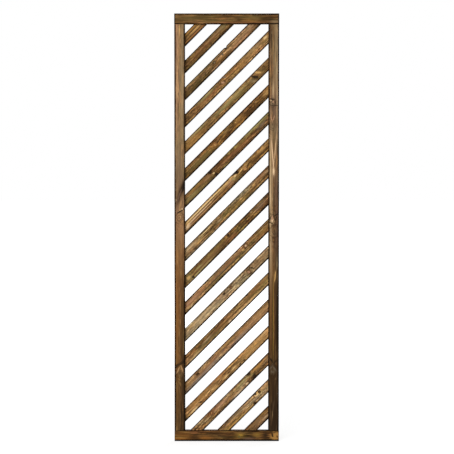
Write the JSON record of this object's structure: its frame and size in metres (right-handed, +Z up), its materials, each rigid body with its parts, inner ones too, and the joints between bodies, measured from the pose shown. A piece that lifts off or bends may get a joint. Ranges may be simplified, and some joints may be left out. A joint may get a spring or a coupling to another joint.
{
  "type": "plant trellis panel",
  "caption": "Upright wooden trellis panel: a rectangular frame of planed softwood with parallel slats set diagonally in its grooves, for climbing plants to grow through.",
  "frame": {"origin": "middle of the underside of the bottom rail, which stands on the ground", "axes": "+Z up along the stiles, +X across the width to the right as seen from the front, +Y from the front to the back"},
  "size_m": [0.44, 0.045, 1.8],
  "materials": {
    "frame_timber": "brown pressure-treated softwood, planed, matt",
    "slat_timber": "brown pressure-treated softwood, planed, matt, with knots",
    "fastener_steel": "yellow-passivated zinc, dull"
  },
  "bodies": {
    "root": {"left_stile": "frame_timber", "right_stile": "frame_timber", "top_rail": "frame_timber", "bottom_rail": "frame_timber", "slat_01": "slat_timber", "slat_02": "slat_timber", "slat_03": "slat_timber", "slat_04": "slat_timber", "slat_05": "slat_timber", "slat_06": "slat_timber", "slat_07": "slat_timber", "slat_08": "slat_timber", "slat_09": "slat_timber", "slat_10": "slat_timber", "slat_11": "slat_timber", "slat_12": "slat_timber", "slat_13": "slat_timber", "slat_14": "slat_timber", "slat_15": "slat_timber", "slat_16": "slat_timber", "slat_17": "slat_timber", "slat_18": "slat_timber", "top_rail_screws": "fastener_steel", "bottom_rail_screws": "fastener_steel", "left_stile_brads": "fastener_steel", "right_stile_brads": "fastener_steel", "top_rail_brads": "fastener_steel", "bottom_rail_brads": "fastener_steel"}
  },
  "joints": []
}
